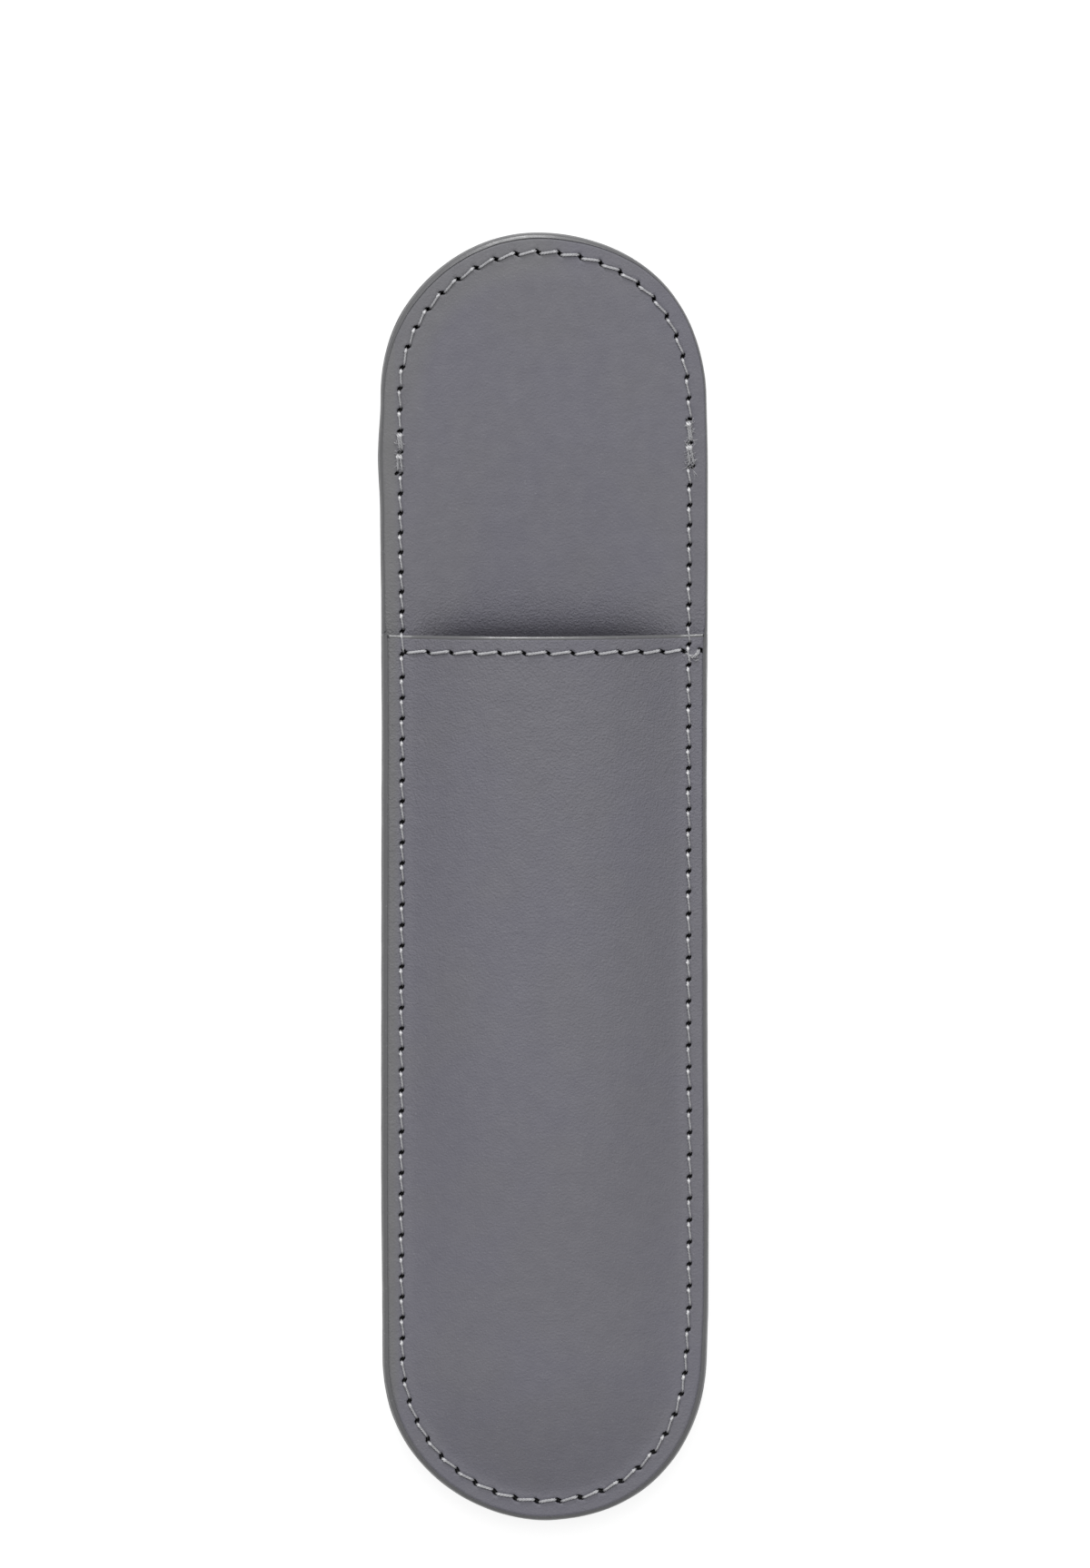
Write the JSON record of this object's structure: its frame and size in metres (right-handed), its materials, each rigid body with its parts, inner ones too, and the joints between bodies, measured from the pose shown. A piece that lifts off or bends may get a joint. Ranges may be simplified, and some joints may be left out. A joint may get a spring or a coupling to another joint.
{
  "type": "single pen sleeve",
  "caption": "Slim leather sleeve for a single pen: an open rounded tongue above a swelled pocket, stitched all round, with painted edges.",
  "frame": {"origin": "middle of the outline, on the plane that the sleeve lies on", "axes": "+Y along the sleeve towards the tip of the tongue, +Z out of the front of the pocket, +X to the right seen from the front"},
  "size_m": [0.0396, 0.156, 0.0107],
  "materials": {
    "outer_leather": "dark grey calf leather, smooth and fine grained, satin",
    "facing_leather": "dark grey calf leather, smooth and fine grained, satin",
    "lining_leather": "thin dark grey lining leather, matt",
    "stiff_board": "bonded leather fibre board, plain, hidden between the leathers",
    "edge_paint": "dark grey edge paint, rounded, satin",
    "thread": "pale grey twisted polyester thread"
  },
  "bodies": {
    "root": {"back_panel": "outer_leather", "back_board": "stiff_board", "inner_facing": "facing_leather", "pocket_lining": "lining_leather", "pocket_panel": "outer_leather", "perimeter_edge_paint": "edge_paint", "mouth_edge_paint": "edge_paint", "tongue_seam_needle_thread": "thread", "tongue_seam_bobbin_thread": "thread", "pocket_seam_needle_thread": "thread", "pocket_seam_bobbin_thread": "thread", "mouth_seam_needle_thread": "thread", "mouth_seam_bobbin_thread": "thread"}
  },
  "joints": []
}
